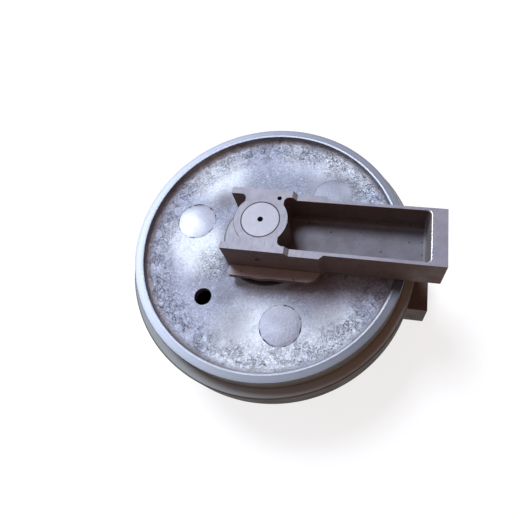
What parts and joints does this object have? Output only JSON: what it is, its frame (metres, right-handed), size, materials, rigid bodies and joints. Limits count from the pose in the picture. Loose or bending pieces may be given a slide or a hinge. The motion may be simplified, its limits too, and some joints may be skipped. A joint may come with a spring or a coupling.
{
  "type": "track idler wheel",
  "caption": "Cast track idler wheel with a centre guide flange, turning on a fixed shaft between cast brackets with sliding pads and bolting arms.",
  "frame": {"origin": "on the shaft axis, in the middle plane of the rim", "axes": "+Z along the shaft towards the outboard bracket, upwards as the idler lies on its side; +X along the bracket arms towards their bolting ends"},
  "size_m": [0.6169, 0.58, 0.3448],
  "materials": {
    "cast_wheel": "rough casting with a turned ring face",
    "core_plug": "ground flat, welded in",
    "bracket_casting": "casting with milled faces",
    "shaft_steel": "turned",
    "bush_bronze": "turned bronze",
    "seal_iron": "lapped",
    "rubber": "smooth",
    "pin_steel": "turned"
  },
  "bodies": {
    "carrier": {"bracket_outboard": "bracket_casting", "bracket_inboard": "bracket_casting", "shaft": "shaft_steel", "oil_plug": "pin_steel", "fixed_seal_ring_outboard": "seal_iron", "fixed_seal_ring_inboard": "seal_iron", "fixed_toric_outboard": "rubber", "fixed_toric_inboard": "rubber", "o_ring_outboard": "rubber", "o_ring_inboard": "rubber", "lock_pin_outboard": "pin_steel", "lock_pin_inboard": "pin_steel"},
    "wheel": {"idler_shell": "cast_wheel", "core_plugs_outboard": "core_plug", "core_plugs_inboard": "core_plug", "bush_outboard": "bush_bronze", "bush_inboard": "bush_bronze", "rotating_seal_ring_outboard": "seal_iron", "rotating_seal_ring_inboard": "seal_iron", "rotating_toric_outboard": "rubber", "rotating_toric_inboard": "rubber"}
  },
  "joints": [
    {"name": "wheel_spin", "type": "hinge", "parent": "carrier", "child": "wheel", "pos_m": [0, 0, 0], "axis": [0, 0, 1], "continuous": true}
  ]
}
